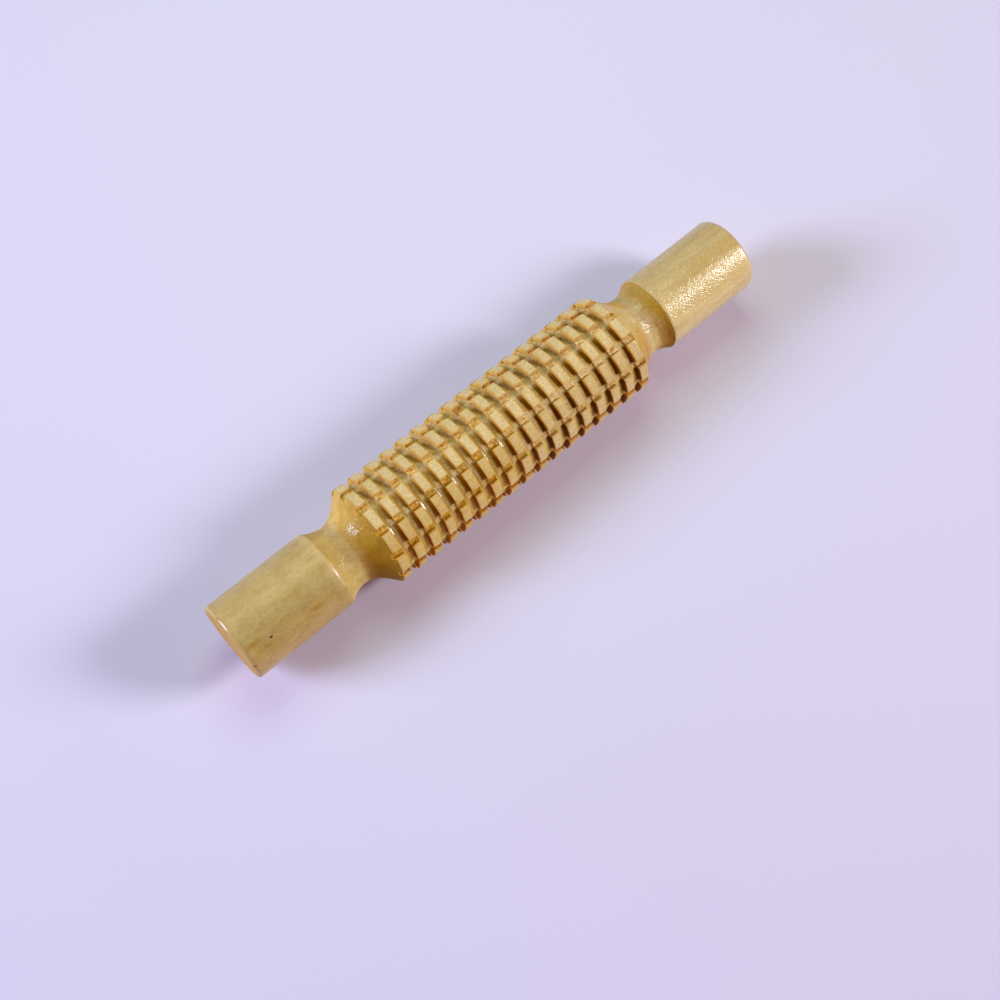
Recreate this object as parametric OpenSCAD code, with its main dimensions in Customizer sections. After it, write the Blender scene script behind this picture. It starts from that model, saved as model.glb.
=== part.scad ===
// Textured pattern roller for clay, dough or plaster: one turned wooden bar with a carved barrel,
// a cove on each side of it and a plain round grip at each end.
// The bar lies along X, rests on its studs at z = 0, and its length is centred on the origin.

/* [Barrel] */
// Diameter over the studs
barrel_d = 32; // [28:0.5:44]
// Number of raised rings along the barrel
ring_count = 17; // [6:1:24]
// Width of one raised ring
ring_w = 2.75; // [1.5:0.05:4.5]
// Width of the groove between two rings
groove_w = 2.88; // [1.5:0.01:4.5]
// Depth of the grooves below the stud tops
groove_depth = 1.7; // [1.3:0.1:3]

/* [Studs] */
// Number of lengthwise notch rows round the barrel, which is also the studs in each ring
stud_columns = 12; // [6:1:24]
// Width of a notch between two studs
notch_w = 2.1; // [1:0.1:3]
// Depth of a notch below the stud tops, less than the groove's
notch_depth = 1.2; // [0.3:0.05:1.2]
// Turn of the first notch row from the top, towards the front
pattern_turn = -4.2; // [-15:0.1:15]
// How far each notch cut runs out over the coves beside the barrel
notch_run = 2; // [1:0.5:4]

/* [Coves] */
// Smallest diameter of the left cove
left_neck_d = 19.7; // [15:0.1:22]
// Smallest diameter of the right cove
right_neck_d = 19.4; // [15:0.1:22]
// Length of the left cove, from its grip to the barrel
left_neck_len = 14.55; // [12:0.05:24]
// Length of the right cove
right_neck_len = 14.5; // [12:0.05:24]
// Distance from the barrel to the lowest line of a cove
neck_low = 8.6; // [5:0.1:10]
// Share of each flank that the roundness of the low line reaches along
cove_bow = 0.46; // [0.2:0.02:0.6]

/* [Grips] */
// Diameter of the left grip
left_handle_d = 24.4; // [23:0.1:29]
// Diameter of the right grip
right_handle_d = 23.8; // [23:0.1:29]
// Length of the left grip
left_handle_len = 33.35; // [20:0.05:60]
// Length of the right grip
right_handle_len = 32.35; // [20:0.05:60]
// Radius of the rounded rim at a grip's free end
end_round = 1.3; // [0.5:0.1:3]
// Sanded-off corner where a grip meets its cove
edge_break = 0.2; // [0.1:0.05:0.5]

/* [Hidden] */
$fn = 96;

barrel_r = barrel_d / 2;
core_r = barrel_r - groove_depth;
notch_floor_r = barrel_r - notch_depth;
left_neck_r = left_neck_d / 2;
right_neck_r = right_neck_d / 2;
left_handle_r = left_handle_d / 2;
right_handle_r = right_handle_d / 2;

ring_pitch = ring_w + groove_w;
barrel_len = ring_count * ring_w + (ring_count - 1) * groove_w;
total_len = left_handle_len + left_neck_len + barrel_len + right_neck_len + right_handle_len;

// Places along X, and the height of the bar's axis when it lies on its studs
left_end = -total_len / 2;
right_end = total_len / 2;
barrel_left = left_end + left_handle_len + left_neck_len;
barrel_right = barrel_left + barrel_len;
axis_height = barrel_r;

// Straight steps in each flank of a cove, and the overlap that lets a cut pass through a surface
cove_steps = 12;
cut_over = 0.5;

function ring_name(i) = str("stud_ring_", i < 10 ? "0" : "", i);

// A point of a cove's flank, [radius, distance from the low line], at t = 0 on the low line and
// t = 1 at the flank's upper edge: a quadratic curve that starts level.
function flank_point(t, low_r, top_r, run) =
    [low_r + (top_r - low_r) * t * t, run * (2 * t * (1 - t) * cove_bow + t * t)];

// Outline of a cove, [radius, distance from the barrel]: down from the barrel's edge to the low
// line, and up from there to the grip's edge.
function cove_outline(len, low_r, grip_r) = concat(
    [for (i = [cove_steps : -1 : 1])
        let (p = flank_point(i / cove_steps, low_r, barrel_r, neck_low)) [p[0], neck_low - p[1]]],
    [for (i = [0 : cove_steps])
        let (p = flank_point(i / cove_steps, low_r, grip_r - edge_break, len - neck_low))
            [p[0], neck_low + p[1]]]);

// Lays what is turned about +Z along the bar's axis, starting at x and pointing to side (+1 or -1).
module on_axis(x, side = 1)
    translate([x, 0, axis_height])
        rotate([0, 90 * side, 0])
            children();

// The notch rows as straight flat-bottomed cuts between two places along X.
module notch_rows(x_from, x_to)
    translate([x_from, 0, axis_height])
        for (i = [0 : stud_columns - 1])
            rotate([pattern_turn + i * 360 / stud_columns, 0, 0])
                translate([0, -notch_w / 2, notch_floor_r])
                    cube([x_to - x_from, notch_w, notch_depth + cut_over]);

// A grip from its cove (at 0) to its free end (at len)
module grip_solid(len, r)
    rotate_extrude() {
        polygon([[0, 0], [r - edge_break, 0], [r, edge_break], [r, len - end_round],
                 [0, len - end_round]]);
        square([r - end_round, len]);
        translate([r - end_round, len - end_round])
            circle(end_round);
    }

// A cove from the barrel (at 0) to its grip (at len)
module cove_solid(len, low_r, grip_r)
    rotate_extrude()
        polygon(concat([[0, 0]], cove_outline(len, low_r, grip_r), [[0, len]]));

module left_handle()
    color("#c9b077")
        on_axis(barrel_left - left_neck_len, -1)
            grip_solid(left_handle_len, left_handle_r);

module right_handle()
    color("#d2b986")
        on_axis(barrel_right + right_neck_len)
            grip_solid(right_handle_len, right_handle_r);

module left_neck()
    color("#b1904f")
        difference() {
            on_axis(barrel_left, -1)
                cove_solid(left_neck_len, left_neck_r, left_handle_r);
            notch_rows(barrel_left - notch_run, barrel_left + cut_over);
        }

module right_neck()
    color("#b89858")
        difference() {
            on_axis(barrel_right)
                cove_solid(right_neck_len, right_neck_r, right_handle_r);
            notch_rows(barrel_right - cut_over, barrel_right + notch_run);
        }

// The round bar at the bottom of the grooves, which carries the rings
module barrel_core()
    color("#a08a60")
        on_axis(barrel_left)
            cylinder(h = barrel_len, r = core_r);

// One raised ring, seated on the core and notched into its studs
module stud_ring(i) {
    x = barrel_left + (i - 1) * ring_pitch;
    color("#e0c98f")
        difference() {
            on_axis(x)
                difference() {
                    cylinder(h = ring_w, r = barrel_r);
                    translate([0, 0, -cut_over])
                        cylinder(h = ring_w + 2 * cut_over, r = core_r);
                }
            notch_rows(x - cut_over, x + ring_w + cut_over);
        }
}

left_handle();
left_neck();
barrel_core();
right_neck();
right_handle();
for (i = [1 : ring_count])
    stud_ring(i);
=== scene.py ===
import math
import random

import bpy
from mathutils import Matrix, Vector


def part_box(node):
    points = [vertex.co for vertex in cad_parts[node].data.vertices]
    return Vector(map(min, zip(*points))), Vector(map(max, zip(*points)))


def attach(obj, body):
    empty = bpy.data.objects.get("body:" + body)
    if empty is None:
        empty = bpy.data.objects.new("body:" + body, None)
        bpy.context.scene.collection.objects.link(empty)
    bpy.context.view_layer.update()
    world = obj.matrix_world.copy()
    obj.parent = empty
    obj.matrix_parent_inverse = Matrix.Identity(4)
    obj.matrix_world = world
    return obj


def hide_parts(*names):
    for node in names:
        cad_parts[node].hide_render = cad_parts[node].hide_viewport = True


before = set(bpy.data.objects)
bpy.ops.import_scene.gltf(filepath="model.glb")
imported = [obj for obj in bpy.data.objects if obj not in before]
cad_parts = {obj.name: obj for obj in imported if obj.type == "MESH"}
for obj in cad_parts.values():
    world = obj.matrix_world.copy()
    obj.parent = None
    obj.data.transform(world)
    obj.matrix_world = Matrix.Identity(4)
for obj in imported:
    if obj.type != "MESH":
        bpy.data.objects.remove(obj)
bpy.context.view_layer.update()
ringNames = sorted(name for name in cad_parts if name.startswith("stud_ring_"))
print("frame loaded with", len(ringNames), "stud rings")

mm = 0.001
coreLow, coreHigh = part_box("barrel_core")
axisHeight = (coreLow.z + coreHigh.z) / 2
coreRadius = (coreHigh.z - coreLow.z) / 2
barrelRadius = axisHeight               # the studs touch the table
wobble = random.Random(17)              # one hand cut every ring a little differently

cameraView = {
    "azimuth": -41.17,          # degrees round the roller
    "elevation": 66.85,         # degrees above the table
    "distance": 478.25 * mm,
    "lens": 58.84,
    "aimAlong": 39.655 * mm,    # aim point from the barrel's left end
    "aimAside": -10.93 * mm,
}


def direction(azimuth, elevation):
    # a unit vector, from degrees round from +X and degrees up from the table
    turn, rise = math.radians(azimuth), math.radians(elevation)
    return Vector((math.cos(turn) * math.cos(rise), math.sin(turn) * math.cos(rise), math.sin(rise)))


def standAt(thing, aim, away, distance):
    # puts a camera or a lamp away from its aim point and turns it to that point
    thing.location = aim + away * distance
    thing.rotation_euler = away.to_track_quat("Z", "Y").to_euler()
    bpy.context.scene.collection.objects.link(thing)


def placeCamera(view):
    camera = bpy.data.objects.new("camera", bpy.data.cameras.new("camera"))
    camera.data.lens = view["lens"]
    camera.data.clip_start = 10 * mm
    aim = Vector((coreLow.x + view["aimAlong"], view["aimAside"], 0))
    standAt(camera, aim, direction(view["azimuth"] - 90, view["elevation"]), view["distance"])
    bpy.context.scene.camera = camera


placeCamera(cameraView)
print("camera placed")


def operator(operation, swapped=False):
    # what a Field does with something to its right, or to its left when swapped
    def apply(self, other):
        return calc(operation, *((other, self) if swapped else (self, other)))
    return apply


class Field:
    # a node socket that can be used in plain arithmetic
    def __init__(self, tree, socket):
        self.tree = tree
        self.socket = socket

    def __abs__(self):
        return calc("ABSOLUTE", self)

    __add__, __radd__ = operator("ADD"), operator("ADD", True)
    __sub__, __rsub__ = operator("SUBTRACT"), operator("SUBTRACT", True)
    __mul__, __rmul__ = operator("MULTIPLY"), operator("MULTIPLY", True)
    __truediv__, __pow__ = operator("DIVIDE"), operator("POWER")


def plug(value, socket):
    if isinstance(value, Field):
        value.tree.links.new(value.socket, socket)
    else:
        socket.default_value = value


def combined(kind, values):
    # a node that takes these values in their order, in the tree that they come from
    tree = next(value.tree for value in values if isinstance(value, Field))
    node = tree.nodes.new(kind)
    for value, socket in zip(values, node.inputs):
        plug(value, socket)
    return node, Field(tree, node.outputs[0])


def calc(operation, *values):
    node, result = combined("ShaderNodeMath", values)
    node.operation = operation
    return result


def between(value, none, full):
    # 0 up to none and 1 from full on, straight in between; full may also be the lower of the two
    node = value.tree.nodes.new("ShaderNodeMapRange")
    for label, part in (("Value", value), ("From Min", none), ("From Max", full)):
        plug(part, node.inputs[label])
    return Field(value.tree, node.outputs[0])


def band(value, low, high, soft):
    # 1 between low and high, fading out over soft on both sides
    return between(value, low - soft, low) * (1 - between(value, high, high + soft))


def vector(x, y, z):
    return combined("ShaderNodeCombineXYZ", (x, y, z))[1]


def parts(place):
    node = place.tree.nodes.new("ShaderNodeSeparateXYZ")
    plug(place, node.inputs[0])
    return [Field(place.tree, socket) for socket in node.outputs]


def stretched(place, x, y, z):
    node = place.tree.nodes.new("ShaderNodeVectorMath")
    node.operation = "MULTIPLY"
    plug(place, node.inputs[0])
    node.inputs[1].default_value = (x, y, z)
    return Field(place.tree, node.outputs[0])


def noise(place, detail=2.0, roughness=0.5, distortion=0.0):
    node = place.tree.nodes.new("ShaderNodeTexNoise")
    plug(place, node.inputs["Vector"])
    for label, value in (("Scale", 1.0), ("Detail", detail), ("Roughness", roughness),
                         ("Distortion", distortion)):
        node.inputs[label].default_value = value
    return Field(place.tree, node.outputs[0])


def groupOutputs(tree, **values):
    # the group's outputs, made and wired in one go
    for label in values:
        tree.interface.new_socket(label, in_out="OUTPUT", socket_type="NodeSocketFloat")
    end = tree.nodes.new("NodeGroupOutput")
    for label, value in values.items():
        plug(value, end.inputs[label])


def newTree(name, sizes, onMesh=False):
    tree = bpy.data.node_groups.new(name, "GeometryNodeTree")
    if onMesh:
        tree.interface.new_socket("Geometry", in_out="INPUT", socket_type="NodeSocketGeometry")
    for label, value in sizes.items():
        kind = "NodeSocketInt" if isinstance(value, int) else "NodeSocketFloat"
        tree.interface.new_socket(label, in_out="INPUT", socket_type=kind).default_value = value
    start = tree.nodes.new("NodeGroupInput")
    return tree, {socket.name: Field(tree, socket) for socket in start.outputs if socket.name}


def randomValue(tree, low, high, identity, seed):
    node = tree.nodes.new("FunctionNodeRandomValue")
    node.data_type = "FLOAT"
    for socket, value in ((node.inputs[2], low), (node.inputs[3], high), (node.inputs["ID"], identity),
                          (node.inputs["Seed"], seed)):
        plug(value, socket)
    return Field(tree, node.outputs[1])


def useGroup(tree, group, **values):
    node = tree.nodes.new("GeometryNodeGroup")
    node.node_tree = group
    for label, value in values.items():
        plug(value, node.inputs[label])
    return {socket.name: Field(tree, socket) for socket in node.outputs}


def meshPlace(tree):
    return Field(tree, tree.nodes.new("GeometryNodeInputPosition").outputs[0])


def unrolledSheet(tree, around, along):
    # a flat grid that later wraps round the bar: u runs round it, v runs along it
    node = tree.nodes.new("GeometryNodeMeshGrid")
    node.inputs["Vertices X"].default_value = around + 1
    node.inputs["Vertices Y"].default_value = along + 1
    x, y = parts(meshPlace(tree))[:2]
    return Field(tree, node.outputs["Mesh"]), x + 0.5, y + 0.5


def keep(shape, **attributes):
    tree = shape.tree
    for label, value in attributes.items():
        node = tree.nodes.new("GeometryNodeStoreNamedAttribute")
        node.data_type, node.domain = "FLOAT", "POINT"
        node.inputs["Name"].default_value = label
        plug(shape, node.inputs["Geometry"])
        plug(value, node.inputs["Value"])
        shape = Field(tree, node.outputs[0])
    return shape


def moved(shape, x, y, z):
    node = shape.tree.nodes.new("GeometryNodeSetPosition")
    plug(shape, node.inputs["Geometry"])
    plug(vector(x, y, z), node.inputs["Position"])
    return Field(shape.tree, node.outputs[0])


def wrap(shape, x, radius, phi):
    # phi is counted from the top towards the front
    return moved(shape, x, radius * calc("SINE", phi) * -1, radius * calc("COSINE", phi) + axisHeight)


def finishTree(tree, shape, material):
    tree.interface.new_socket("Geometry", in_out="OUTPUT", socket_type="NodeSocketGeometry")
    weld = tree.nodes.new("GeometryNodeMergeByDistance")
    weld.inputs["Distance"].default_value = 0.0005 * mm
    smooth = tree.nodes.new("GeometryNodeSetShadeSmooth")
    real = tree.nodes.new("GeometryNodeRealizeInstances")
    paint = tree.nodes.new("GeometryNodeSetMaterial")
    paint.inputs["Material"].default_value = material
    for node in (weld, smooth, real, paint):
        plug(shape, node.inputs["Geometry"])
        shape = Field(tree, node.outputs[0])
    plug(shape, tree.nodes.new("NodeGroupOutput").inputs["Geometry"])


def grow(name, tree, values, mesh=None, crease=35):
    # runs a tree once and keeps what it made as a plain mesh
    piece = bpy.data.objects.new(name, mesh or bpy.data.meshes.new(name))
    bpy.context.scene.collection.objects.link(piece)
    modifier = piece.modifiers.new("grow", "NODES")
    modifier.node_group = tree
    for item in tree.interface.items_tree:
        if item.item_type == "SOCKET" and item.in_out == "INPUT" and item.name in values:
            modifier[item.identifier] = values[item.name]
    view = bpy.context.evaluated_depsgraph_get()
    made = bpy.data.meshes.new_from_object(piece.evaluated_get(view), preserve_all_data_layers=True,
                                           depsgraph=view)
    piece.modifiers.clear()
    piece.data = made
    made.set_sharp_from_angle(angle=math.radians(crease))
    return piece


def settle(piece, node):
    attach(piece, "root")
    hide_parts(node)


# notch rows: straight saw cuts along the barrel, shared by the rings and the coves
notchRows = {
    "rows": 12,
    "turn": math.radians(-3.7),     # first row from the top, towards the front
    "width": 2.1 * mm,
    "depth": 1.2 * mm,
    "wallRun": 0.05 * mm,
    "upperWear": 0.22 * mm,         # the upper wall is cut back a little further than the lower
    "kerfWidth": 0.32 * mm,         # the saw's last deeper line beside the lower wall
    "kerfDepth": 0.07 * mm,
    "kerfEdge": 0.05 * mm,
    "skew": 0.41,                   # how far the rows turn round the bar for each metre along it
    "rowWander": 0.3 * mm,
    "wanderFineness": 110.0,        # per metre along the bar
    "frayFineness": 900.0,
    "jitter": 0.05 * mm,
    "fray": 0.12 * mm,
    "widthSpread": 0.12 * mm,
    "depthSpread": 0.1 * mm,
}
stepsPerRow = 60
stepsAround = stepsPerRow * notchRows["rows"]
# what the steps of a row make, from the middle of one stud to the middle of the next
rowSteps = {"stud": (0, 20), "upperWall": (20, 22), "floor": (22, 34), "kerfEdge": (34, 35),
            "kerf": (35, 37), "lowerWall": (37, 40), "nextStud": (40, 60), "halfway": (29, 31)}
ringStride = 20                     # more than the rows, so that every stud has its own number


def makeNotchGroup():
    sizes = dict(notchRows, u=0.0, x=0.0, barrelRadius=barrelRadius, ring=1)
    tree, given = newTree("notchRows", sizes)
    rows, radius, x = given["rows"], given["barrelRadius"], given["x"]
    turned = given["u"] * rows
    row = calc("FLOOR", turned + 0.0001)    # a row's first point belongs to it
    step = (turned - row) * stepsPerRow
    spacing = radius * 2 * math.pi / rows
    side = spacing * 0.5
    rowNumber = calc("FLOORED_MODULO", row, rows)
    identity = rowNumber + given["ring"] * ringStride

    def share(name):
        return between(step, *rowSteps[name])

    def eased(part):
        # brings the points closer together beside the walls
        return part * (1.75 - part * 0.75)

    drift = noise(vector(x * given["wanderFineness"], rowNumber * 7.3, 4.0))
    fray = (noise(vector(x * given["frayFineness"], identity * 3.7, 0.5)) - 0.5) * given["fray"]
    middle = (drift - 0.5) * given["rowWander"] * 2
    middle = middle + randomValue(tree, given["jitter"] * -1, given["jitter"], identity, 3)
    half = given["width"] * 0.5 + randomValue(tree, -0.5, 0.5, identity, 5) * given["widthSpread"]
    upper = middle - half - given["upperWear"] + fray
    lower = middle + half - fray * 0.75
    kerfFrom = lower - given["wallRun"] - given["kerfWidth"]
    floorFrom = upper + given["wallRun"]
    arc = ((side + upper) * eased(share("stud")) - side
           + given["wallRun"] * share("upperWall")
           + (kerfFrom - floorFrom) * share("floor")
           + given["kerfEdge"] * share("kerfEdge")
           + (given["kerfWidth"] - given["kerfEdge"]) * share("kerf")
           + given["wallRun"] * share("lowerWall")
           + (side - lower) * (1 - eased(1 - share("nextStud"))))
    deep = given["depth"] + randomValue(tree, -1.0, 1.0, identity, 8) * given["depthSpread"]
    kerf = given["kerfDepth"] * (0.7 + randomValue(tree, 0.0, 0.6, identity, 9))
    cut = share("upperWall") - share("lowerWall")
    inKerf = share("kerfEdge") - share("lowerWall")
    edge = calc("MAXIMUM", upper - arc, arc - lower)
    stud = calc("FLOORED_MODULO", row + share("halfway"), rows)
    groupOutputs(tree, phi=given["turn"] + given["skew"] * x + (row * spacing + arc) / radius,
                 drop=cut * deep + inKerf * kerf, cut=cut, kerf=inKerf,
                 edge=calc("MAXIMUM", edge, 0.0), stud=stud + given["ring"] * ringStride)
    return tree


notchGroup = makeNotchGroup()

cover, tint = "MIX", "MULTIPLY"     # the two ways a layer of colour goes on
halves = (-6.0, 8.0)                # mm along the bar, where the finish of the right half takes over


def mixColour(amount, first, second, how=cover):
    tree = amount.tree
    node = tree.nodes.new("ShaderNodeMix")
    node.data_type, node.blend_type = "RGBA", how
    for value, index in ((amount, 0), (first, 6), (second, 7)):
        plug(value + (1,) if isinstance(value, tuple) else value, node.inputs[index])
    return Field(tree, node.outputs[2])


def layered(finish, colour, layers):
    # each layer: how it goes on, where and how much of it, and its colour or that colour's name
    for how, amount, layer in layers:
        layer = finish[layer] if isinstance(layer, str) else layer
        colour = mixColour(amount, colour, layer, how)
    return colour


def attribute(tree, label):
    node = tree.nodes.new("ShaderNodeAttribute")
    node.attribute_name = label
    return Field(tree, node.outputs["Fac"])


def slope(tree):
    # which way the surface faces
    return parts(Field(tree, tree.nodes.new("ShaderNodeNewGeometry").outputs["Normal"]))


def inMillimetres(tree):
    # Object coordinates, centred on the bar's axis
    node = tree.nodes.new("ShaderNodeMapping")
    tree.links.new(tree.nodes.new("ShaderNodeTexCoord").outputs["Object"], node.inputs["Vector"])
    node.inputs["Location"].default_value = (0, 0, -axisHeight / mm)
    node.inputs["Scale"].default_value = (1 / mm, 1 / mm, 1 / mm)
    return Field(tree, node.outputs[0])


def startMaterial(name):
    material = bpy.data.materials.new(name)
    material.use_nodes = True
    return material, inMillimetres(material.node_tree)


def finishMaterial(material, colour, roughness, varnish, relief, specular, coatRoughness):
    # varnish is how much of the clear coat lies on each place, relief a height in millimetres
    tree = material.node_tree
    bump = tree.nodes.new("ShaderNodeBump")
    bump.inputs["Strength"].default_value = 1.0
    bump.inputs["Distance"].default_value = mm
    plug(relief, bump.inputs["Height"])
    normal = Field(tree, bump.outputs[0])
    for label, value in (("Base Color", colour), ("Roughness", roughness), ("Coat Weight", varnish),
                         ("Normal", normal), ("Coat Normal", normal), ("Specular IOR Level", specular),
                         ("Coat Roughness", coatRoughness)):
        plug(value, tree.nodes["Principled BSDF"].inputs[label])
    return material


def noises(place, sizes):
    # noise by name: how fine it is along the bar and round it, per mm, then detail and the rest
    return {name: noise(stretched(place, along, around, around), *rest)
            for name, (along, around, *rest) in sizes.items()}


def spot(place, centre, size, core=0.25):
    # 1 at the centre, 0 at the given distance along the bar and round it
    node = place.tree.nodes.new("ShaderNodeVectorMath")
    node.operation = "DISTANCE"
    scale = (1 / size[0], 1 / size[1], 1 / size[1])
    plug(stretched(place, *scale), node.inputs[0])
    x, radius, phi = centre
    node.inputs[1].default_value = (x * scale[0], -radius * math.sin(phi) * scale[1],
                                    radius * math.cos(phi) * scale[2])
    return between(Field(place.tree, node.outputs["Value"]), 1.0, core)


def sided(right, finish, name):
    # a colour that is another one in the right half
    return mixColour(right, finish[name], finish[name + "Right"])


def rowShare(x, y, z):
    # 0.5 in the middle of a notch row, 0 and 1 half-way to the next rows
    phi = calc("ARCTAN2", y * -1, z) - notchRows["turn"] - x * (notchRows["skew"] * mm)
    return calc("FLOORED_MODULO", phi * (notchRows["rows"] / (2 * math.pi)) + 0.5, 1.0)


gripFinish = {
    "wood": (0.6, 0.43, 0.165),
    "woodRight": (0.655, 0.48, 0.205),
    "frontRight": (0.88, 0.69, 0.285),
    "shade": (0.76, 0.69, 0.54),
    "amber": (0.88, 0.73, 0.33),
    "olive": (0.9, 0.94, 0.9),
    "front": (1.0, 0.96, 0.7),
    "endGrain": (0.585, 0.375, 0.115),
    "endDeep": (0.64, 0.33, 0.05),
    "endRing": (0.8, 0.66, 0.42),
    "rim": (0.5, 0.37, 0.13),
    "rimPale": (0.62, 0.41, 0.105),
    "rimShadeRight": (0.62, 0.36, 0.09),
    "worn": (0.74, 0.545, 0.235),
    "dull": (0.9, 0.83, 0.66),
    "pit": (0.1, 0.032, 0.005),
}
gripNoise = {
    "bands": (0.05, 0.42, 3.0, 0.55, 0.4),
    "blotches": (0.2, 0.26, 3.0, 0.6),
    "mottle": (0.62, 0.85, 3.0, 0.65),
    "fleck": (1.2, 1.5, 2.0, 0.6),
    "warm": (0.196, 0.42, 2.0),
    "warp": (0.35, 0.35, 1.0),
    "lumps": (1.3, 1.3, 1.0),
    "endWarp": (0.2, 0.2, 1.0),
}
# each pit: place (along, out, angle), size along and round, and how dark it is
gripPits = (((-85.3, 12.1, math.radians(45)), (0.7, 0.42), 1.0),
            ((-93.1, 12, math.radians(66)), (0.6, 0.5), 0.55),
            ((-93.2, 12, math.radians(-19)), (0.5, 0.6), 0.4),
            ((71.6, 11.9, math.radians(-38)), (0.4, 0.22), 0.6),
            ((-89.4, 12, math.radians(40)), (0.4, 0.25), 0.3))
gripStains = ((-70.8, 12, math.radians(53)), (-88.2, 12, math.radians(50)), (-90.5, 12, math.radians(38)))
stainSize = (3.5, 1.3)


def makeGripWood(finish):
    # mottled wood under satin varnish, with fine sanding scratches both ways
    material, place = startMaterial("gripWood")
    tree, fine = place.tree, noises(place, gripNoise)
    x, y, z = parts(place)
    ahead, slant = y * -1, abs(slope(tree)[0])
    right = between(x, 60.0, 62.0)
    left = 1 - right
    # painted light: the right grip is much lighter towards the front, where the right lamp falls on it; its
    # lighter base tone is partly its own wood, partly painted light from that nearer lamp
    wood = mixColour(between(ahead, 1.0, 10.0), finish["woodRight"], finish["frontRight"])
    colour = layered(finish, mixColour(right, finish["wood"], wood), [
        # painted: the fronts of the grips made warmer, taking out the table's bluish bounce light
        (tint, between(ahead, 6.0, 10.5) * (1 - right * 0.7), "front"),
        (tint, band(ahead, 3.0, 7.5, 2.0) * left, "olive"),
        (cover, between(x, -63.6, -61.2) * left * between(ahead, 11.5, 9.0) * 0.8, "worn"),
        (tint, band(ahead, 0.5, 3.5, 2.0) * between(x, 66.0, 78.0), "dull"),
        (tint, between(fine["bands"], 0.42, 0.66) * (0.22 + right * 0.32), "shade"),
        (tint, between(fine["blotches"], 0.44, 0.68) * 0.42 * (1 - right * 0.5), "shade"),
        (tint, between(fine["mottle"], 0.46, 0.72) * 0.38, "shade"),
        (tint, between(fine["fleck"], 0.46, 0.7) * 0.4, "shade"),
        (tint, between(fine["warm"], 0.56, 0.72) * 0.5 * (1 - right * 0.6), "amber")])
    for stain in gripStains:
        amount = spot(place, stain, stainSize) * between(fine["mottle"], 0.3, 0.5) * 0.95
        colour = mixColour(amount, colour, finish["amber"], tint)

    across, warp = calc("ARCTAN2", ahead, z) * 12, fine["warp"] * 2
    leftScratch = noise(vector(x * 0.55 + across * 0.45, across * 2.0 - x * 1.7, warp), 1.0)
    rightScratch = noise(vector(x * 0.5 - across * 0.45, across * 1.9 + x * 2.0, warp + 9), 1.0)
    scratches = calc("MAXIMUM", between(leftScratch, 0.5, 0.66), between(rightScratch, 0.52, 0.68))
    rough = right * (1 - between(x, 80.0, 90.0) * 0.5)
    height = scratches * 0.014 + fine["lumps"] * (0.03 + rough * 0.055)
    height = height + (leftScratch + rightScratch) * rough * 0.105

    outer = between(abs(x), 90.0, 92.0)
    end = between(slant, 0.9, 0.985)
    rings = noise(vector(0.0, y * 0.35, z * 2.2 + fine["endWarp"] * 3), 3.0, 0.6)
    endColour = mixColour(between(z * -0.95 + y * 0.3, 1.0, 6.0), finish["endGrain"], finish["endDeep"])
    endColour = mixColour(between(rings, 0.42, 0.62) * 0.8, endColour, finish["endRing"], tint)
    rimShade = band(slant, 0.1, 0.22, 0.08) * outer * left * between(ahead, -1.0, 3.0) * 0.2
    colour = layered(finish, colour, [
        # painted light: the left rim's rounding kept as warm and light as the lit body
        (cover, band(slant, 0.3, 0.85, 0.15) * outer * left * 0.8, "rimPale"),
        # painted shade: a darker orange on the right rim's rounding
        (cover, between(slant, 0.28, 0.5) * outer * right * 0.9, "rimShadeRight"),
        (tint, rimShade, "rim"),
        (cover, end, endColour)])
    pitted = 0.0
    for centre, size, darkness in gripPits:
        hole = spot(place, centre, size, 0.55) * darkness
        colour = mixColour(hole, colour, finish["pit"])
        height = height - hole * 0.12
        pitted = calc("MAXIMUM", hole, pitted)

    lip = between(x, -61.5, -60.8) * left
    inner = between(lip, 0.1, 0.4) * band(ahead, 4.6, 8.0, 1.2)
    inner = inner * (0.4 + between(fine["mottle"], 0.4, 0.55) * 0.6)
    glint = band(slant, 0.16, 0.6, 0.12) * outer * (1 - between(ahead, 0.0, 4.0) * left)
    satin = 0.1 + right * 0.9 * (1 - between(y, 2.0, 8.0) * 0.9) * (1 - between(ahead, 6.2, 4.4) * 0.5)
    roughness = 0.36 - right * 0.1 + scratches * 0.05 + end * 0.35 + pitted * 0.5
    return finishMaterial(material, colour, roughness,
                          varnish=(satin * (1 - end) + glint + inner) * (1 - pitted),
                          relief=height * (1 - glint * 0.9) - lip * lip * 0.12,
                          specular=0.38, coatRoughness=0.12)


coveFinish = {
    "middle": (0.53, 0.365, 0.145),
    "middleRight": (0.62, 0.46, 0.215),
    "middleLitBack": (0.64, 0.46, 0.21),
    "pale": (0.63, 0.42, 0.13),
    "paleRight": (0.76, 0.56, 0.26),
    "honey": (0.74, 0.455, 0.09),
    "honeyLitBack": (0.78, 0.52, 0.155),
    "honeyRight": (0.52, 0.325, 0.08),
    "deep": (0.45, 0.245, 0.016),
    "front": (0.7, 0.53, 0.18),
    "frontRight": (0.76, 0.59, 0.24),
    "backRight": (0.72, 0.38, 0.03),
    "under": (0.92, 0.8, 0.48),
    "byBarrel": (0.87, 0.73, 0.34),
    "shade": (0.74, 0.66, 0.46),
    "notch": (0.56, 0.31, 0.035),
}
coveNoise = {
    "clouds": (0.34, 0.3, 3.0, 0.6, 0.6),
    "flecks": (0.8, 1.3, 3.0, 0.65),
    "streaks": (0.5, 1.4, 1.0),
    "swell": (0.7, 0.7, 1.0),
    "ripple": (1.5, 1.5, 1.0),
    "rippleRight": (2.2, 2.2, 1.0),
}
coveDrop = {"centre": (-49.9, 11.5, math.radians(1.6)), "size": (2.7, 2.7), "core": 0.35}


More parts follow.
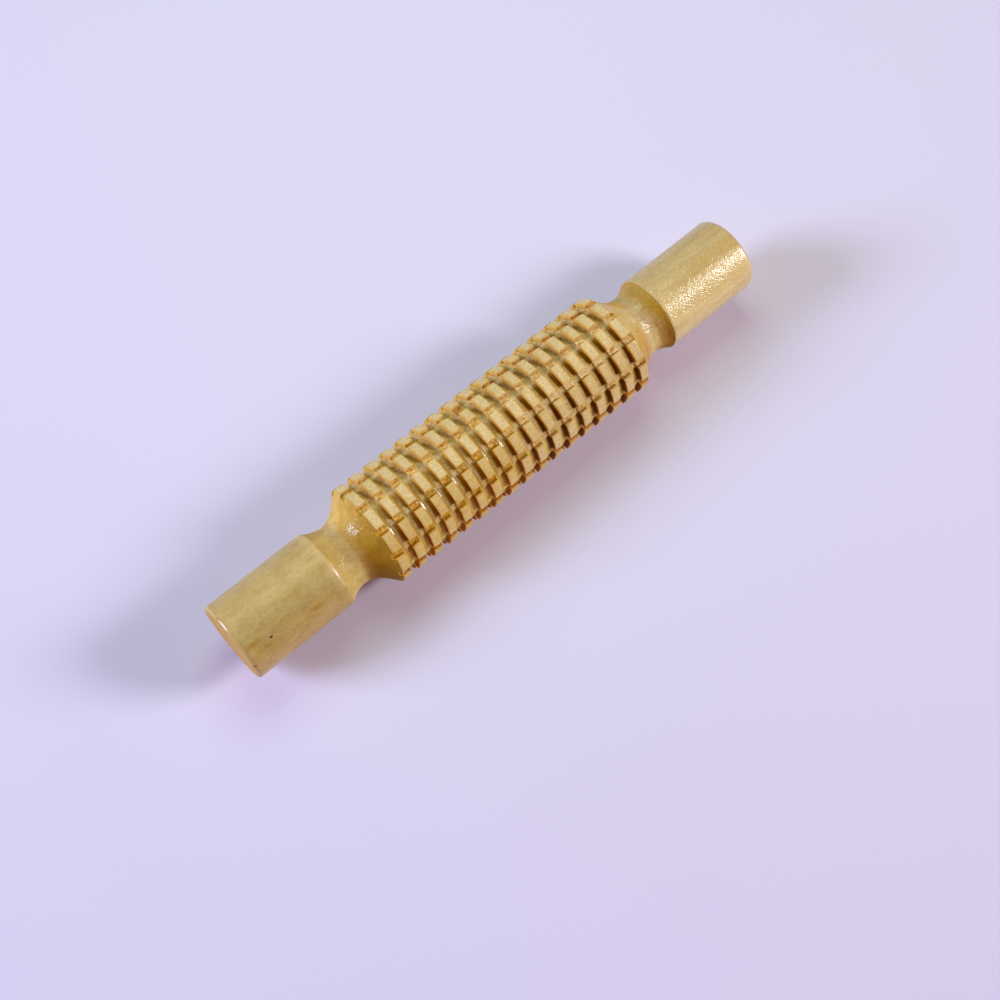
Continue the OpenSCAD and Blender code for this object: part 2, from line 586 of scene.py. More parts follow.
def makeCoveWood(finish):
    # thick amber varnish that pooled in the hollow, with painted light and shade by which way each part
    # faces
    material, place = startMaterial("coveWood")
    tree, fine = place.tree, noises(place, coveNoise)
    nx, ny, nz = slope(tree)
    leftwards, ahead = nx * -1, ny * -1
    right = between(parts(place)[0], *halves)
    left = 1 - right
    notch = attribute(tree, "notch")
    # painted light: the middle and honey tones have lighter copies for where the cove faces the far side
    behind = between(ny, 0.15, 0.55)
    middle = mixColour(behind, finish["middle"], finish["middleLitBack"])
    honey = mixColour(behind, finish["honey"], finish["honeyLitBack"])
    honey = mixColour(right, honey, finish["honeyRight"])
    # partly amber varnish, partly painted shade: the honey tone turns deeper where the flank faces the front
    honey = mixColour(between(ahead, -0.45, 0.5), honey, finish["deep"])
    start = 0.08 + between(ahead, 0.2, 0.55) * (0.12 + right * 0.06) - right * 0.12
    towards = between(ahead, 0.45, 0.85)
    frontFace = towards * (1 - between(leftwards, 0.1, 0.35)) * (1 - between(nx, 0.15, 0.45) * right)
    barrelFlank = between(nx, 0.3, 0.6) * right
    flank = calc("MAXIMUM", between(leftwards, 0.0, 0.3), barrelFlank)
    colour = layered(finish, mixColour(right, middle, finish["middleRight"]), [
        # paler where a flank faces right, honey where it faces left: partly the varnish's own colour, partly
        # painted light and shade by which way it faces
        (cover, between(nx, 0.05, 0.5), sided(right, finish, "pale")),
        (cover, between(leftwards, start, start + 0.4), honey),
        # painted light: lighter where the low line faces the front
        (cover, frontFace, sided(right, finish, "front")),
        # painted: a warmer amber on the back of the right cove's barrel flank, offsetting the bluish light
        # of the left lamp
        (cover, between(ny, 0.15, 0.4) * between(nx, 0.1, 0.5) * right * 0.8, "backRight"),
        # painted shade: warmer and darker where the flanks face the front and down, and on the right cove's
        # flank beside the barrel
        (tint, towards * flank, "under"),
        (tint, barrelFlank * between(ahead, 0.15, 0.45), "byBarrel"),
        (tint, between(fine["clouds"], 0.4, 0.64) * 0.55, "shade"),
        (tint, between(fine["flecks"], 0.46, 0.74) * 0.45, "shade"),
        (cover, between(notch, 0.1, 0.6), "notch")])
    height = fine["swell"] * 0.06 + fine["streaks"] * (0.1 + right * 0.08)
    height = height + fine["ripple"] * 0.17 * left + fine["rippleRight"] * 0.12 * right
    # the varnish is thinner underneath, behind and beside the left grip
    above = between(nz, 0.1, 0.5) * (1 - between(ny, 0.1, 0.45)) * (1 - notch)
    thin = between(leftwards, 0.15, 0.4) * calc("MAXIMUM", between(ahead, 0.05, 0.4), right)
    thick = right + left * (0.16 + spot(place, **coveDrop) * 0.75)
    return finishMaterial(material, colour, 0.44 + fine["clouds"] * 0.08, varnish=above * (1 - thin) * thick,
                          relief=height, specular=0.05, coatRoughness=0.1)


studFinish = {
    "top": (0.87, 0.69, 0.36),
    "topDark": (0.56, 0.375, 0.14),
    "front": (1.0, 0.97, 0.72),
    "rim": (0.96, 0.75, 0.34),
    "wall": (0.46, 0.13, 0.002),
    "wallRight": (0.64, 0.31, 0.025),
    "wallLitBack": (0.8, 0.53, 0.115),
    "wallTurned": (0.6, 0.335, 0.045),     # on the walls that face right
    "wallLow": (0.45, 0.29, 0.12),
    "foot": (0.74, 0.56, 0.45),
    "footRight": (0.64, 0.42, 0.18),
    "floorDark": (0.54, 0.275, 0.03),
    "floorDarkRight": (0.64, 0.4, 0.115),
    "floorLight": (0.92, 0.63, 0.2),
    "floorLightRight": (0.98, 0.78, 0.4),
    "cutFront": (0.96, 0.9, 0.36),
    "cutLowRight": (0.88, 0.8, 0.66),
    "cutBack": (0.88, 0.79, 0.67),
    "cutFarBack": (0.92, 0.76, 0.55),
    "cutEndLit": (0.9, 0.68, 0.3),
    "lastRow": (0.92, 0.6, 0.24),
    "lowHalf": (0.84, 0.74, 0.45),
    "pool": (0.36, 0.14, 0.008),
    "kerf": (0.32, 0.12, 0.008),
}
studNoise = {
    "grain": (0.9, 2.4, 3.0, 0.7),
    "speck": (1.6, 1.9, 2.0, 0.6),
    "hatch": (2.6, 0.7, 2.0, 0.6),
    "broad": (0.12, 0.7, 2.0),
    "sawn": (0.34, 1.9, 3.0, 0.6),
    "lumps": (1.5, 0.9, 2.0),
    "pooled": (0.55, 0.55, 2.0),
    "drops": (1.3, 1.3, 0.0),
    "edgeLumps": (1.6, 1.6, 1.0),
}


def makeStudWood(finish):
    # pale sanded tops, amber varnish left in the notches and down the walls, with painted light and shade on
    # the walls and notch ends
    material, place = startMaterial("studWood")
    tree, fine = place.tree, noises(place, studNoise)
    x, y, z = parts(place)
    ahead, facing = y * -1, slope(tree)[0]
    right = between(x, *halves)
    left = 1 - right
    tone, edge, height, cut, kerf = [attribute(tree, name) for name in
                                     ("tone", "edge", "height", "cut", "kerf")]
    flecks = between(fine["speck"], 0.5, 0.7) * 0.5 + between(fine["broad"], 0.4, 0.7) * 0.2 + tone * 0.2
    top = layered(finish, finish["top"], [
        (cover, between(fine["grain"], 0.38, 0.7) * 0.62, "topDark"),
        (cover, flecks, "topDark"),
        (cover, between(fine["hatch"], 0.54, 0.68) * 0.35, "topDark"),
        (tint, between(ahead, 4.0, 11.0) * (1 - right * 0.75), "front"),
        (tint, edge * (0.4 + fine["speck"]), "rim")])
    # painted light and shade: the ring walls are lit orange at the back and nearly black at the front, where
    # they stand in shadow
    wall = mixColour(between(ahead, 1.0, 10.0), finish["wallLitBack"], sided(right, finish, "wall"))
    wall = layered(finish, wall, [
        (cover, between(facing, -0.2, 0.2), "wallTurned"),
        (tint, 1 - between(height, 0.1, 0.75), sided(right, finish, "foot")),
        # painted shade: the front-most walls of the right half darker still
        (tint, between(ahead, 11.0, 13.5) * right, "wallLow")])
    ridges = between(fine["sawn"] * 0.55 + fine["lumps"] * 0.45, 0.4, 0.6)
    floor = mixColour(ridges, sided(right, finish, "floorDark"), sided(right, finish, "floorLight"))
    floor = layered(finish, floor, [
        (tint, between(ahead, 3.0, 8.0) * left, "cutFront"),
        (tint, between(ahead, 13.5, 15.0), "lastRow"),
        (tint, between(ahead, 9.0, 12.0) * right, "cutLowRight"),
        (tint, between(y, -3.0, 1.0) * right, "cutBack"),
        (tint, between(y, 3.0, 7.0) * right, "cutFarBack"),
        # painted light: the left-facing side of the ring below a notch is as pale as a lit notch floor,
        # though it stands in shadow
        (cover, between(facing * -1, 0.3, 0.7) * 0.8, "cutEndLit")])
    inCut = between(cut, 0.1, 0.5)
    lower = between(rowShare(x, y, z), 0.46, 0.56)
    colour = layered(finish, top, [
        (cover, (1 - between(height, 0.86, 0.99)) * (1 - cut * 0.8), wall),
        (cover, between(cut, 0.12, 0.5), floor),
        (tint, lower * between(ahead, 0.0, 5.0) * left * inCut, "lowHalf"),
        (cover, between(fine["pooled"], 0.5, 0.62) * (0.3 + right * 0.05) * inCut, "pool"),
        (cover, between(kerf, 0.2, 1.0) * (0.25 + right * 0.2 + ridges * 0.35), "kerf")])
    drops = between(fine["drops"], 0.54, 0.76) * (1 - right * 0.5)
    lastEdge = between(x, 45.6, 46.4) * (1 - inCut)
    relief = fine["grain"] * 0.06 + fine["speck"] * 0.07 + fine["edgeLumps"] * lastEdge * 0.22
    relief = relief + (fine["sawn"] * 0.2 + fine["lumps"] * 0.15 + drops * 0.17) * inCut
    beads = inCut * between(drops, 0.35, 0.7) + lastEdge
    return finishMaterial(material, colour, 0.62 - right * 0.05, varnish=beads * 0.8,
                          relief=relief, specular=0.08, coatRoughness=0.12)


grooveFinish = {
    "wood": (0.6, 0.395, 0.12),
    "woodRight": (0.58, 0.4, 0.14),
    "dust": (0.74, 0.6, 0.36),
    "frontLit": (0.94, 0.72, 0.2),
    "pooled": (0.7, 0.7, 0.75),
    "dirt": (0.66, 0.56, 0.36),
    "varnish": (0.62, 0.36, 0.045),
    "shadow": (0.5, 0.38, 0.3),
    "farSideShade": (0.82, 0.72, 0.62),
    "farSideShadeRight": (0.78, 0.64, 0.47),
    "deep": (0.42, 0.2, 0.003),
    "deepRight": (0.19, 0.07, 0.001),
    "deepTop": (0.38, 0.18, 0.012),
    "deepTopRight": (0.27, 0.11, 0.003),
}
grooveNoise = {
    "patches": (0.5, 0.42, 3.0, 0.6, 0.5),
    "torn": (1.0, 1.5, 4.0, 0.65),
    "gaps": (0.5, 0.5, 2.0),
    "smallGaps": (1.5, 1.5, 1.0),
    "fibres": (2.2, 2.2, 2.0),
}


def makeGrooveWood(finish):
    # torn fibres and sanding dust on the groove floors, varnish caught in the corners, and painted light and
    # shadow across the grooves
    material, place = startMaterial("grooveWood")
    tree, fine = place.tree, noises(place, grooveNoise)
    x, y, z = parts(place)
    ahead = y * -1
    right = between(x, *halves)
    left = 1 - right
    corner, across, wet = [attribute(tree, name) for name in ("corner", "across", "wet")]
    byStud = between(abs(rowShare(x, y, z) - 0.5), 0.1, 0.17)
    lowest = between(ahead, 11.5, 13.6)
    rightHalf = between(across, 0.4, 0.6)
    leftCorner = between(corner, 0.05, 0.4) * (1 - rightHalf)
    # paler where the notch rows cross a groove: partly sanding dust, partly painted light coming through the
    # notches
    dustAndNotchLight = (1 - byStud) * band(ahead, 0.0, 9.0, 2.5) * (1 - between(across, 0.55, 0.75))
    drift = across - calc("ARCTAN2", ahead, z) * 1.05
    back = band(y, 2.6, 8.0 + right, 1.8) * band(drift, 0.83, 1.08 + right * 0.08, 0.14)
    # painted shadow: how far across its groove the dark right side, cast by the next ring, begins
    start = 0.64 + lowest * 0.1 - right * (0.08 + (1 - between(ahead, 2.0, 8.0)) * 0.14)
    slot = calc("MAXIMUM", between(corner, 0.1, 0.6) * rightHalf, between(across, start, start + 0.15))
    # painted shadow colours, darker in the right half
    deep = mixColour(between(ahead, 3.0, 8.0), sided(right, finish, "deepTop"),
                     sided(right, finish, "deep"))
    depth = between(ahead, -3.6, 2.4) * (0.85 + right * 0.12)
    depth = depth + between(ahead, 4.0, 9.0) * (0.13 - right * 0.02) - lowest * (0.28 - right * 0.03)
    # a warm strip where the painted shadow begins
    amber = between(across, start - 0.12, start + 0.02) * between(ahead, 2.0, 6.0)
    runs = between(ahead, -1.0, 4.0) * left * 0.5
    colour = layered(finish, sided(right, finish, "wood"), [
        (cover, between(fine["patches"], 0.45, 0.7), "dust"),
        (cover, dustAndNotchLight * 0.45, "dust"),
        # painted light: the front-most part of each groove lighter and yellower
        (cover, lowest * 0.85, "frontLit"),
        (tint, between(fine["torn"], 0.46, 0.7) * 0.8, "dirt"),
        (tint, back * (0.55 + byStud * 0.2 + right * 0.08), "shadow"),
        # painted shade: a darker strip on the right side of the grooves behind the top
        (tint, band(y, 5.0, 7.6, 1.5) * between(across, 0.6, 0.74), sided(right, finish, "farSideShade")),
        (cover, leftCorner * (0.25 + runs), "varnish"),
        # painted shade: the varnish pool in the left corners darkened in front of the top, where it faces
        # the light
        (tint, leftCorner * left * between(ahead, -1.0, 3.0) * (1 - lowest), "pooled"),
        # painted half-shade strip, then the painted shadow, which lies only beside the studs and breaks off
        # at the notch rows, where light gets through
        (cover, amber * (byStud * 0.3 + 0.1), "varnish"),
        (cover, slot * (byStud + right * 0.15) * depth, deep)])
    broken = between(fine["gaps"], 0.36, 0.44) * between(fine["smallGaps"], 0.32, 0.44)
    shiny = leftCorner * left * broken * band(ahead, 5.6, 10.2, 1.4) * wet
    relief = (fine["torn"] * 0.12 + fine["fibres"] * 0.05) * (1 - leftCorner * left * 0.92)
    return finishMaterial(material, colour, 0.8 - fine["torn"] * 0.1, varnish=shiny,
                          relief=relief, specular=0.02, coatRoughness=0.05)


gripWood = makeGripWood(gripFinish)
coveWood = makeCoveWood(coveFinish)
studWood = makeStudWood(studFinish)
grooveWood = makeGrooveWood(grooveFinish)
print("finishes mixed")

ringCut = {
    "lowX": 0.0,                # the first three are set for each ring
    "highX": 2.75 * mm,
    "ring": 1,
    "chipWidth": 0.0,
    "chipAngle": 0.0,
    "chipEdge": 0.22 * mm,
    "chipFray": 0.5 * mm,
    "stump": 0.25 * mm,         # unevenness of what is left under a chip
    "coreRadius": coreRadius,
    "topRadius": barrelRadius - 0.01 * mm,
    "sanded": 0.01 * mm,
    "grain": 0.035 * mm,
    "foot": 0.2 * mm,           # how far the ring reaches into the core
    "splay": 0.1 * mm,          # how much wider it is down there
    "wear": 0.1 * mm,           # what handling took off its edges
    "wearReach": 0.28 * mm,
    "nick": 0.22 * mm,
    "nickReach": 0.5 * mm,
    "sideWander": 0.07 * mm,
}
# steps up a wall, across the top, down again, and back inside
ringAcross = {"up": (0, 4), "top": (4, 16), "down": (16, 20), "back": (20, 22)}


def makeRingTree():
    tree, given = newTree("studRing", ringCut)
    steps = ringAcross["back"][1]
    sheet, u, v = unrolledSheet(tree, stepsAround, steps)
    step = v * steps
    up, top, down, back = [between(step, *ends) for ends in ringAcross.values()]
    height = up - down
    # -1 at the ring's left edge and 1 at its right, with more points beside them
    s = top * 2 - 1
    s = s * (1.5 - s * s * 0.5) - back * 2
    middle, half = (given["lowX"] + given["highX"]) * 0.5, (given["highX"] - given["lowX"]) * 0.5
    notch = useGroup(tree, notchGroup, u=u, x=middle + s * half, ring=given["ring"])
    phi = notch["phi"]

    # unevenness: wandering sides, nicked and worn edges
    around = vector(calc("COSINE", phi) * 16, calc("SINE", phi) * 16, given["ring"] * 9.1 + s * 2)
    wander = noise(stretched(around, 0.3, 0.3, 1.0), 3.0) - 0.5
    rough = noise(stretched(around, 1.3, 1.3, 1.0), 3.0, 0.6)
    side = (wander + (rough - 0.5) * s) * given["sideWander"] * 2
    nicked = between(noise(stretched(around, 0.75, 0.75, 0.8)), 0.6, 0.7)
    fromSide = (1 - abs(s)) * half
    fromEdge = calc("MINIMUM", fromSide, notch["edge"] + notch["cut"] * mm)
    worn = (1 - between(fromEdge, 0.0, given["wearReach"])) ** 2 * (0.4 + rough * 1.2)
    nicked = nicked * (1 - between(fromSide, 0.0, given["nickReach"]))
    drop = notch["drop"] + worn * given["wear"] + nicked * given["nick"]
    drop = drop + (rough - 0.4) * given["grain"] + given["sanded"]

    # the broken stud
    away = abs(phi - given["chipAngle"]) * given["topRadius"]
    inside = given["chipWidth"] * 0.5 * given["topRadius"] - away + (rough - 0.5) * given["chipFray"]
    gap = between(inside / given["chipEdge"] + 0.5, 0.0, 1.0) * between(given["chipWidth"], 0.0, 0.01)
    topHere = given["topRadius"] - calc("MAXIMUM", drop, 0.0)
    stump = given["coreRadius"] + (rough - 0.35) * given["stump"]
    topHere = topHere + (stump - topHere) * gap
    foot = given["coreRadius"] - given["foot"]
    radius = foot + (topHere - foot) * height
    spread = (1 - height) ** 2 * given["splay"] + half
    tone = randomValue(tree, 0.0, 1.0, notch["stud"], 11) * 0.6
    tone = tone + (1 - calc("FLOORED_MODULO", notch["stud"], 2)) * 0.8
    shape = keep(sheet, height=height - gap * 0.9, cut=notch["cut"] * (1 - gap),
                 kerf=notch["kerf"] * (1 - gap), tone=tone,
                 edge=1 - between(fromEdge, 0.05 * mm, 0.35 * mm))
    finishTree(tree, wrap(shape, middle + s * spread + side, radius, phi), studWood)
    return tree


# the cutter never lands at quite the same place or width
cutter = {
    "bow": 0.16 * mm,           # how far the rings in the middle lie to the right
    "placeSpread": 0.07 * mm,
    "widthSpread": 0.04,
    "firstWider": 0.12 * mm,
}


def spanRings(sizes):
    spans, last = [], len(ringNames) - 1
    for index, name in enumerate(ringNames):
        low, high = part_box(name)
        bow = sizes["bow"] * (1 - (index / last * 2 - 1) ** 2)
        drift = wobble.uniform(-sizes["placeSpread"], sizes["placeSpread"]) * (0 < index < last)
        middle = (low.x + high.x) / 2 + bow + drift
        half = (high.x - low.x) / 2 * wobble.uniform(1 - sizes["widthSpread"], 1 + sizes["widthSpread"])
        spans.append((middle - half, middle + half))
    spans[0] = (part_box(ringNames[0])[0].x, spans[0][1] + sizes["firstWider"])
    spans[-1] = (spans[-1][0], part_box(ringNames[-1])[1].x)
    return spans


ringSpans = spanRings(cutter)
ringTree = makeRingTree()
brokenStud = {"ring": 8, "chipAngle": math.radians(360 - 31.3), "chipWidth": math.radians(13.4)}
for number, (name, span) in enumerate(zip(ringNames, ringSpans), 1):
    values = {"lowX": span[0], "highX": span[1], "ring": number}
    if number == brokenStud["ring"]:
        values.update(brokenStud)
    settle(grow("studRing%02d" % number, ringTree, values), name)
print("rings cut and notched")

grips = {
    "left": {"node": "left_handle", "radius": 12.1 * mm, "swell": 0.12 * mm, "rim": 1.0 * mm,
             "slant": 0.3 * mm, "edge": 0.34 * mm},
    "right": {"node": "right_handle", "radius": 11.88 * mm, "swell": 0.0, "rim": 1.3 * mm,
              "slant": 0.2 * mm, "edge": 0.2 * mm},
}
coves = {
    "left": {"node": "left_neck", "lowRadius": 9.85 * mm, "side": -1.0, "ring": 1},
    "right": {"node": "right_neck", "lowRadius": 9.7 * mm, "side": 1.0, "ring": len(ringNames)},
}
coveCut = {
    "barrelX": 0.0,             # the first six are set for each cove
    "length": 15 * mm,
    "lowRadius": 9.75 * mm,
    "gripRadius": 12.0 * mm,
    "side": 1.0,
    "ring": 1,
    "lowAt": 8.6 * mm,          # lowest line, counted from the barrel
    "bow": 0.46,
    "barrelRadius": barrelRadius - 0.14 * mm,
    "turning": 0.16 * mm,       # unevenness left by the gouge
    "above": 0.3 * mm,          # room between the flank and the notches' own top
    "cutDeeper": 0.16 * mm,
    "cutEdge": 0.1 * mm,
}
coveRows = 52


def makeCoveTree():
    tree, given = newTree("cove", coveCut)
    sheet, u, v = unrolledSheet(tree, stepsAround, coveRows)
    # the sheet's outermost rows close the two ends
    closing = between(abs(v - 0.5), 0.5 - 0.5 / coveRows, 0.5 - 0.1 / coveRows)
    # below 0 is the flank by the barrel, above it the one by the grip
    w = (between(v * coveRows, 1.0, coveRows - 1.0) - 0.5) * given["side"] * 2
    away = abs(w)
    onBarrelSide = calc("LESS_THAN", w, 0.0)
    onGripSide = 1 - onBarrelSide
    t = 1 - (1 - away) ** 1.5
    run = given["lowAt"] * onBarrelSide + (given["length"] - given["lowAt"]) * onGripSide
    top = given["barrelRadius"] * onBarrelSide + given["gripRadius"] * onGripSide
    fromLow = run * (t * (1 - t) * given["bow"] * 2 + t * t)
    x = given["barrelX"] + given["side"] * (given["lowAt"] + fromLow * (1 - onBarrelSide * 2))
    radius = given["lowRadius"] + (top - given["lowRadius"]) * t * t
    notch = useGroup(tree, notchGroup, u=u, x=x, ring=given["ring"])
    phi = notch["phi"]
    place = vector(x / mm, calc("COSINE", phi) * 12, calc("SINE", phi) * 12)
    turning = (noise(stretched(place, 0.5, 0.12, 0.12)) - 0.5) * given["turning"]
    limit = given["barrelRadius"] + given["above"] - notch["drop"]
    limit = limit - between(notch["cut"], 0.0, 0.5) * given["cutDeeper"]
    cutHere = calc("MINIMUM", radius + turning * between(away, 1.0, 0.9), limit) * (1 - closing)
    nicked = between(radius - limit, 0.0, given["cutEdge"]) * onBarrelSide
    finishTree(tree, wrap(keep(sheet, notch=nicked), x, cutHere, phi), coveWood)
    return tree


coveTree = makeCoveTree()
for side, cove in coves.items():
    low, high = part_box(cove["node"])
    values = dict(cove, length=high.x - low.x, barrelX=high.x if side == "left" else low.x,
                  gripRadius=grips[side]["radius"] - grips[side]["edge"])
    settle(grow(side + "Cove", coveTree, values, crease=40), cove["node"])
print("coves turned")


def lathe(name, outline, around, marks):
    # outline is a list of (x, radius) from left to right, with a radius of 0 at both ends
    points, faces = [], []
    rows = outline[1:-1]
    for x, radius in rows:
        for k in range(around):
            phi = 2 * math.pi * k / around
            points.append((x, -radius * math.sin(phi), axisHeight + radius * math.cos(phi)))
    for j in range(len(rows) - 1):
        for k in range(around):
            a, b = j * around + k, j * around + (k + 1) % around
            faces.append((a, b, b + around, a + around))
    points += [(outline[0][0], 0, axisHeight), (outline[-1][0], 0, axisHeight)]
    last = (len(rows) - 1) * around
    for k in range(around):
        after = (k + 1) % around
        faces.append((len(points) - 2, after, k))
        faces.append((len(points) - 1, last + k, last + after))
    mesh = bpy.data.meshes.new(name)
    mesh.from_pydata(points, [], faces)
    for label, marked in marks.items():
        layer = mesh.attributes.new(label, "FLOAT", "POINT")
        layer.data.foreach_set("value", [v for v in marked[1:-1] for k in range(around)] + [0.0, 0.0])
    return mesh


def quarterTurn(steps, radius):
    # a hollow quarter circle, from straight up at the corner to straight out from it
    turns = [math.radians(90) * k / steps for k in range(steps + 1)]
    return [(radius * (1 - math.cos(turn)), radius * (1 - math.sin(turn))) for turn in turns]


surface = {
    "wave": 0.04 * mm,          # slow unevenness of hand sanding
    "fine": 0.01 * mm,
    "still": 2 * mm,            # nothing moves nearer the axis than this
    "free": 6 * mm,             # and everything from here out moves in full
    "slant": 0.0,               # how far the free end leans back at the bottom
    "slantFrom": 0.0,
    "slantRun": 6 * mm,
    "slantRadius": 12 * mm,
    "slantSide": 1.0,
}


def makeSurfaceTree(name, material, waveSize, fineSize):
    # pushes a turned shape in and out a little, and leans its free end; noise sizes are per metre
    tree, given = newTree(name, surface, onMesh=True)
    place = meshPlace(tree)
    x, y, z = parts(place)
    z = z - axisHeight
    out = calc("SQRT", y * y + z * z)
    wave = (noise(stretched(place, *waveSize)) - 0.5) * 2
    fine = (noise(stretched(place, *fineSize), 4.0, 0.65) - 0.5) * 2
    push = (wave * given["wave"] + fine * given["fine"]) / calc("MAXIMUM", out, given["still"])
    scale = 1 + push * between(out, given["still"], given["free"])
    lean = between((x - given["slantFrom"]) * given["slantSide"], 0.0, given["slantRun"])
    lean = lean * given["slant"] * (1 - z / given["slantRadius"]) * 0.5
    shape = moved(given["Geometry"], x - lean * given["slantSide"], y * scale, z * scale + axisHeight)
    finishTree(tree, shape, material)
    return tree


gripSteps = {"end": 6, "rim": 8, "along": 40, "around": 192}
gripEdge = ((0.6, 0.16), (0.25, 0.5), (0.0, 1.0))      # back and down, in sizes of the rounded edge


def gripOutline(length, grip):
    # from the free end (0) to the cove (length)
    radius, rim, edge = grip["radius"], grip["rim"], grip["edge"]
    full = radius + grip["swell"]
    outline = [(0, (full - rim) * k / gripSteps["end"]) for k in range(gripSteps["end"])]
    outline += [(along, full - down) for along, down in quarterTurn(gripSteps["rim"], rim)]
    for k in range(1, gripSteps["along"] + 1):
        along = rim + (length - edge - rim) * k / gripSteps["along"]
        outline.append((along, radius + grip["swell"] * (1 - along / length)))
    outline += [(length - edge * back, radius - edge * down) for back, down in gripEdge]
    return outline + [(length, radius * 0.5), (length, 0)]


gripTree = makeSurfaceTree("sandedGrip", gripWood, waveSize=(60, 140, 140), fineSize=(500, 900, 900))
for side, grip in grips.items():
    low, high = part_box(grip["node"])
    outline = gripOutline(high.x - low.x, grip)
    values = {"slant": grip["slant"]}
    if side == "left":
        outline = [(low.x + x, radius) for x, radius in outline]
        values.update(slantSide=-1.0, slantFrom=low.x + surface["slantRun"])
    else:
        outline = [(high.x - x, radius) for x, radius in reversed(outline)]
        values.update(slantSide=1.0, slantFrom=high.x - surface["slantRun"])
    name = side + "Grip"
    piece = grow(name, gripTree, values, lathe(name, outline, gripSteps["around"], {}), crease=50)
    settle(piece, grip["node"])
print("grips turned")

core = {
    "fillet": 0.38 * mm,        # torn wood and varnish in the groove corners
    "overlap": 0.04 * mm,       # how far they reach into a ring's side
    "fillSteps": 3,
    "floorSteps": 6,
    "around": 340,
    "under": 0.12 * mm,         # how far the bar is cut away under a ring
    "tuck": 0.14 * mm,          # where that begins, in from the ring's sides
    # varnish ran up the left wall of the first grooves: the shine in each, distance out and height
    "wet": (0.85, 0.25, 0.8, 0.75, 0.9, 0.22, 0.5, 0.85, 0.3),
    "pool": ((-0.04 * mm, 0.5 * mm), (0.1 * mm, 0.34 * mm), (0.26 * mm, 0.225 * mm),
             (0.42 * mm, 0.155 * mm), (0.74 * mm, 0.072 * mm), (0.95 * mm, 0.035 * mm), (1.25 * mm, 0.0)),
}


def coreOutline(sizes):
    # the profile, how deep in a corner and how far across its groove each point lies, and its shine
    outline = [(coreLow.x, 0), (coreLow.x, coreRadius - sizes["under"])]
    marks = {"corner": [0.0, 0.0], "across": [0.0, 0.0], "wet": [0.0, 0.0]}
    steps, below = sizes["floorSteps"], [(-sizes["tuck"], -sizes["under"], 0.0)]
    pool = [(out, rise, 1.0 * (rise > 0)) for out, rise in sizes["pool"]]
    fillet = [(out - sizes["overlap"], rise, 0.75 + 0.25 * (rise > 0))
              for out, rise in quarterTurn(sizes["fillSteps"], sizes["fillet"])]
    for index, (before, after) in enumerate(zip(ringSpans, ringSpans[1:])):
        left, right = before[1], after[0]
        pooled = index < len(sizes["wet"])
        first = left + (pool[-1][0] if pooled else sizes["fillet"])
        last = right - sizes["fillet"]
        groove = [(left + out, rise, deep) for out, rise, deep in below + (pool if pooled else fillet)]
        groove += [(first + (last - first) * k / steps, 0.0, 0.0) for k in range(1, steps)]
        groove += [(right - out, rise, deep) for out, rise, deep in reversed(below + fillet)]
        for x, rise, deep in groove:
            outline.append((x, coreRadius + rise))
            marks["corner"].append(deep)
            marks["across"].append((x - left) / (right - left))
            marks["wet"].append(sizes["wet"][index] if pooled else 0.0)
    outline += [(coreHigh.x, coreRadius - sizes["under"]), (coreHigh.x, 0)]
    return outline, {name: values + [0.0, 0.0] for name, values in marks.items()}


outline, marks = coreOutline(core)
coreTree = makeSurfaceTree("roughCore", grooveWood, waveSize=(260, 420, 420), fineSize=(900, 1500, 1500))
piece = grow("barrelCore", coreTree, {"wave": 0.1 * mm, "fine": 0.035 * mm},
             lathe("barrelCore", outline, core["around"], marks), crease=70)
settle(piece, "barrel_core")
print("core turned")

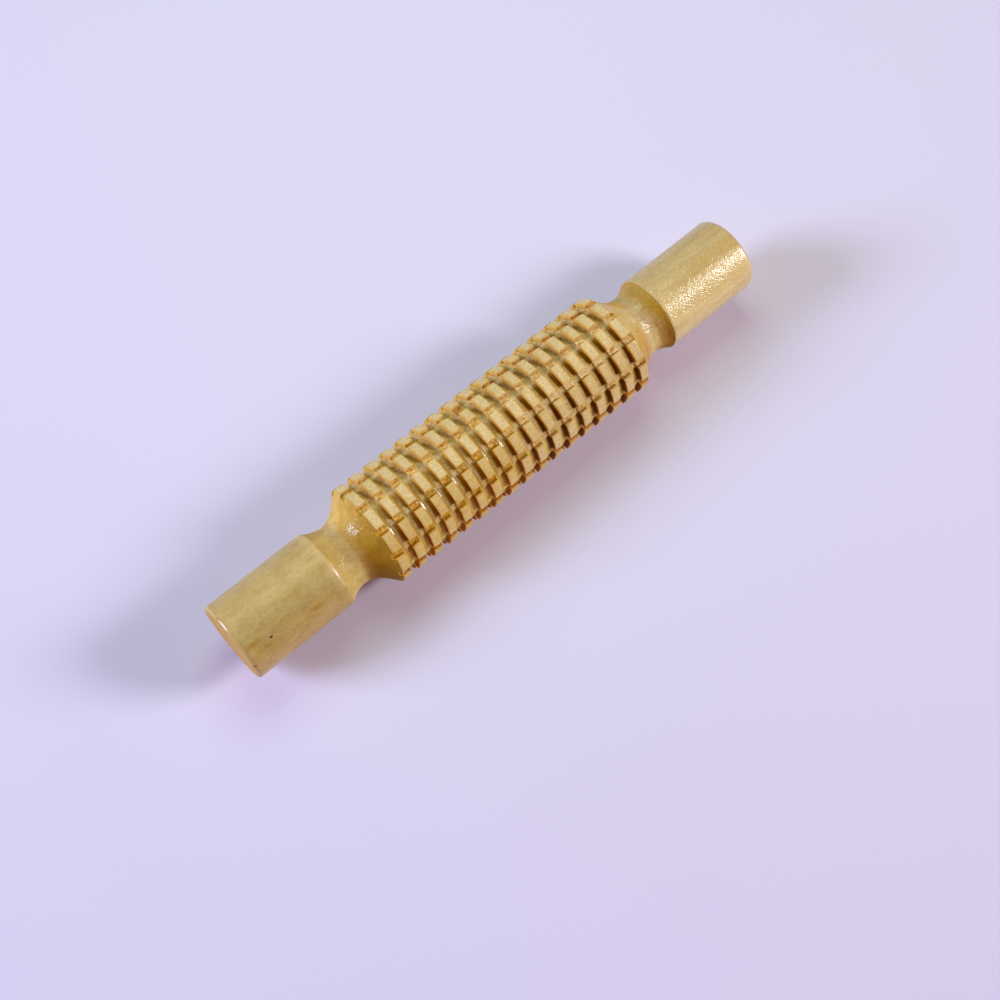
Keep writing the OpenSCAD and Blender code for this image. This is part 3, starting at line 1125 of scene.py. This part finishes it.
studio = {
    "tableSize": 2.4,
    "tableColour": (0.725, 0.685, 0.89),
    "tableFar": (0.225, 0.213, 0.276),  # darker near the lamps, where it would burn out to white
    "farFrom": 280.0,                   # mm from the middle where that begins and where it is full
    "farAt": 860.0,
    "fill": (0.14, 0.05, 0.042),        # the faint light from all round
    "beyond": (0.46, 0.43, 0.56),       # what is seen or mirrored past the table's edge
}
lamps = {
    "leftLamp": {"azimuth": 192, "elevation": 28, "distance": 1.49, "size": 0.54, "power": 21.0,
                 "colour": (0.694, 0.754, 1.0)},
    "rightLamp": {"azimuth": 1, "elevation": 30.5, "distance": 1.6, "size": 0.46, "power": 18.4,
                  "colour": (1.0, 0.961, 0.983)},
    "topLamp": {"azimuth": 105, "elevation": 65, "distance": 0.5, "size": 0.3, "power": 0.8,
                "colour": (0.69, 1.0, 0.67)},
}


def makeTable(settings):
    material, place = startMaterial("lavenderPaper")
    tree, (x, y) = place.tree, parts(place)[:2]
    distance = calc("SQRT", x * x + y * y)
    colour = mixColour(between(distance, settings["farFrom"], settings["farAt"]),
                       settings["tableColour"], settings["tableFar"])
    for label, value in (("Base Color", colour), ("Roughness", 0.9), ("Specular IOR Level", 0.1)):
        plug(value, tree.nodes["Principled BSDF"].inputs[label])
    half = settings["tableSize"] / 2
    mesh = bpy.data.meshes.new("tableTop")
    mesh.from_pydata([(-half, -half, 0), (half, -half, 0), (half, half, 0), (-half, half, 0)], [],
                     [(0, 1, 2, 3)])
    mesh.materials.append(material)
    table = bpy.data.objects.new("tableTop", mesh)
    bpy.context.scene.collection.objects.link(table)


def makeLamp(name, lamp):
    # azimuth is counted from the camera's right hand side, towards the far side
    light = bpy.data.lights.new(name, "AREA")
    light.shape = "SQUARE"
    light.size = lamp["size"]
    light.energy = lamp["power"]
    light.color = lamp["colour"]
    away = direction(cameraView["azimuth"] + lamp["azimuth"], lamp["elevation"])
    standAt(bpy.data.objects.new(name, light), Vector((0, 0, 0)), away, lamp["distance"])


def makeWorld(settings):
    world = bpy.data.worlds.new("softRoom")
    world.use_nodes = True
    tree = world.node_tree
    rays = tree.nodes.new("ShaderNodeLightPath")
    seen, mirrored, through = (Field(tree, rays.outputs[label]) for label in
                               ("Is Camera Ray", "Is Glossy Ray", "Is Transmission Ray"))
    either = calc("MAXIMUM", calc("MAXIMUM", seen, mirrored), through)
    colour = mixColour(either, settings["fill"], settings["beyond"])
    plug(colour, tree.nodes["Background"].inputs["Color"])
    bpy.context.scene.world = world


makeTable(studio)
makeWorld(studio)
for lampName, lampSettings in lamps.items():
    makeLamp(lampName, lampSettings)
bpy.context.scene.view_settings.view_transform = "Standard"
print("table and lamps set")
